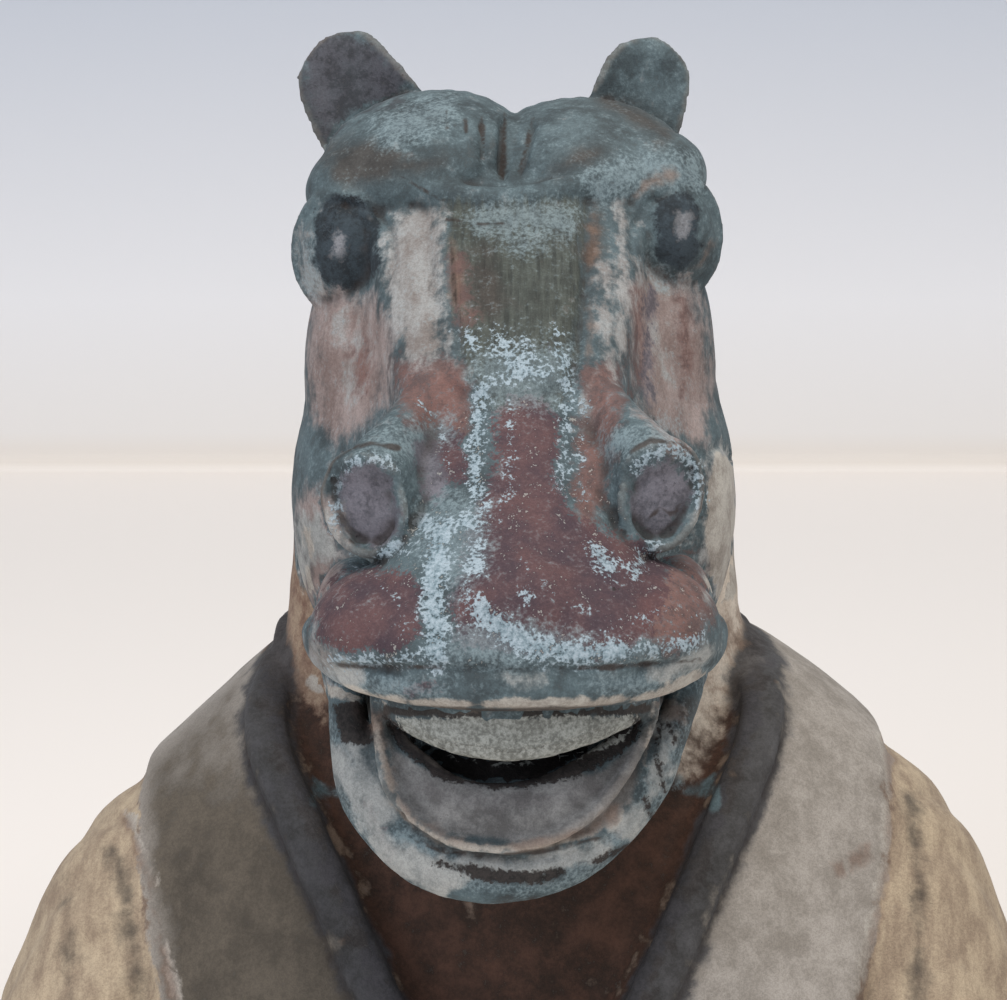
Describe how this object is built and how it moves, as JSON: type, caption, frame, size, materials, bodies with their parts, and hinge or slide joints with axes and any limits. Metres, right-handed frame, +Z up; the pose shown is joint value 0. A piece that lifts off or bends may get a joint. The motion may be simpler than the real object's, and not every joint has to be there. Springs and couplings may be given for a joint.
{
  "type": "zodiac figure bust",
  "caption": "Horse-headed zodiac figure in painted earthenware: head with open mouth, neck and robed shoulders, cut flat across the chest to stand on a level surface.",
  "frame": {"origin": "middle of the bounding box at the flat cut it stands on", "axes": "+Z up, the figure looks along -Y, +X is its left side"},
  "size_m": [0.1758, 0.131, 0.1774],
  "materials": {
    "painted_earthenware": "worn cold paint over fired clay: slate blue-green, maroon, cream and buff"
  },
  "bodies": {
    "root": {"zodiac_bust": "painted_earthenware"}
  },
  "joints": []
}
